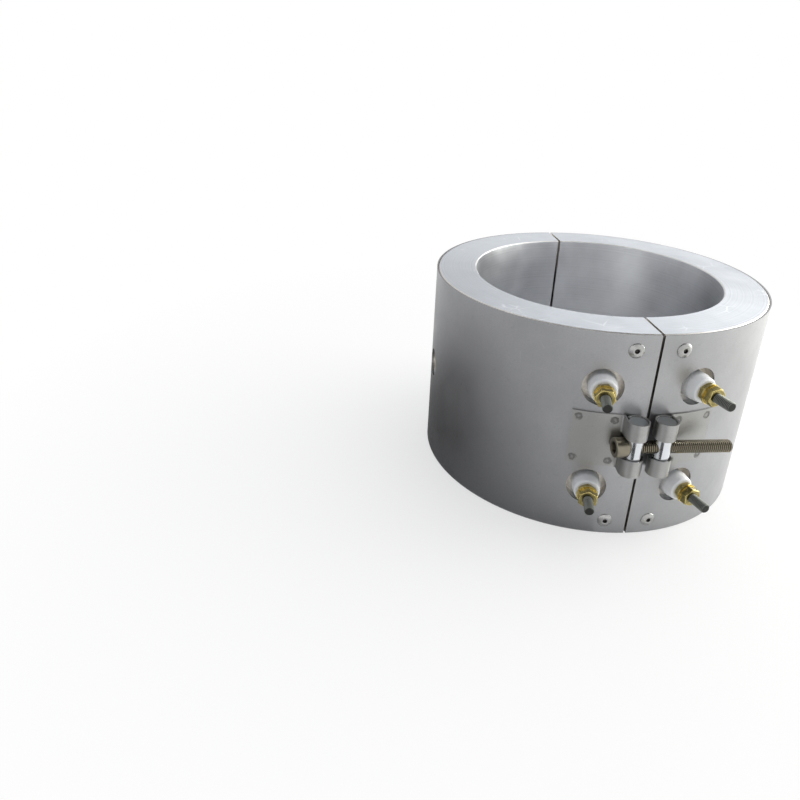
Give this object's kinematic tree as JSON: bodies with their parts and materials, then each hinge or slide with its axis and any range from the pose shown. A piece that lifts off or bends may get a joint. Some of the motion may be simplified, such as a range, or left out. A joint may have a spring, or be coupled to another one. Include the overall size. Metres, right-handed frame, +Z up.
{
  "type": "cast aluminium band heater",
  "caption": "Split cast aluminium band heater: sheet-clad halves on a rear hinge, ceramic-insulated terminal studs, and a clamp screw through cross-drilled barrels.",
  "frame": {"origin": "on the axis of the bore, at the lower end face", "axes": "+Z up along the bore, -Y out through the front seam and its clamp, +X towards the right half"},
  "size_m": [0.227, 0.2585, 0.14],
  "materials": {
    "cast_aluminium": "machined, satin",
    "cover_sheet": "satin rolled stainless sheet",
    "strap_sheet": "satin stainless sheet",
    "element_sheath": "annealed, dull",
    "magnesia": "compacted powder, matt",
    "resistance_wire": "oxidised nickel chrome, dull",
    "insulator_ceramic": "fired white, semi-matt",
    "terminal_steel": "dark grey-green, dull",
    "nut_brass": "dulled, worn bright on its edges",
    "washer_brass": "bright",
    "rivet_metal": "satin",
    "barrel_chrome": "bright plated",
    "screw_steel": "plated, slightly yellowed",
    "pin_steel": "turned, satin"
  },
  "bodies": {
    "left_half": {"cast_half_left": "cast_aluminium", "cover_left": "cover_sheet", "element_sheath_left": "element_sheath", "element_fill_left": "magnesia", "resistance_coil_left": "resistance_wire", "insulator_left_top": "insulator_ceramic", "insulator_left_bottom": "insulator_ceramic", "stud_left_top": "terminal_steel", "stud_left_bottom": "terminal_steel", "inner_nut_left_top": "nut_brass", "inner_nut_left_bottom": "nut_brass", "washer_left_top": "washer_brass", "washer_left_bottom": "washer_brass", "outer_nut_left_top": "nut_brass", "outer_nut_left_bottom": "nut_brass", "rivet_front_left_top": "rivet_metal", "rivet_front_left_bottom": "rivet_metal", "rivet_rear_left_top": "rivet_metal", "rivet_rear_left_bottom": "rivet_metal", "clamp_strap_left": "strap_sheet", "hinge_leaf_left": "strap_sheet", "hinge_pin": "pin_steel"},
    "right_half": {"cast_half_right": "cast_aluminium", "cover_right": "cover_sheet", "element_sheath_right": "element_sheath", "element_fill_right": "magnesia", "resistance_coil_right": "resistance_wire", "insulator_right_top": "insulator_ceramic", "insulator_right_bottom": "insulator_ceramic", "stud_right_top": "terminal_steel", "stud_right_bottom": "terminal_steel", "inner_nut_right_top": "nut_brass", "inner_nut_right_bottom": "nut_brass", "washer_right_top": "washer_brass", "washer_right_bottom": "washer_brass", "outer_nut_right_top": "nut_brass", "outer_nut_right_bottom": "nut_brass", "rivet_front_right_top": "rivet_metal", "rivet_front_right_bottom": "rivet_metal", "rivet_rear_right_top": "rivet_metal", "rivet_rear_right_bottom": "rivet_metal", "clamp_strap_right": "strap_sheet", "hinge_leaf_right": "strap_sheet"},
    "head_barrel_body": {"head_barrel": "barrel_chrome"},
    "nut_barrel_body": {"nut_barrel": "barrel_chrome"},
    "screw_body": {"clamp_screw": "screw_steel"}
  },
  "joints": [
    {"name": "half_hinge", "type": "hinge", "parent": "left_half", "child": "right_half", "pos_m": [0, 0.11781, 0.07], "axis": [0, 0, 1], "range_deg": [0, 8]},
    {"name": "head_barrel_pivot", "type": "hinge", "parent": "left_half", "child": "head_barrel_body", "pos_m": [-0.00875, -0.12026, 0.07], "axis": [0, 0, 1], "range_deg": [0, 4]},
    {"name": "nut_barrel_pivot", "type": "hinge", "parent": "right_half", "child": "nut_barrel_body", "pos_m": [0.00875, -0.12026, 0.07], "axis": [0, 0, 1], "range_deg": [-4, 0]},
    {"name": "clamp_screw_spin", "type": "hinge", "parent": "head_barrel_body", "child": "screw_body", "pos_m": [0, -0.12026, 0.07], "axis": [1, 0, 0], "continuous": true}
  ],
  "couplings": [
    {"joint": "head_barrel_pivot", "follows": "half_hinge", "ratio": 0.5},
    {"joint": "nut_barrel_pivot", "follows": "half_hinge", "ratio": -0.5}
  ]
}
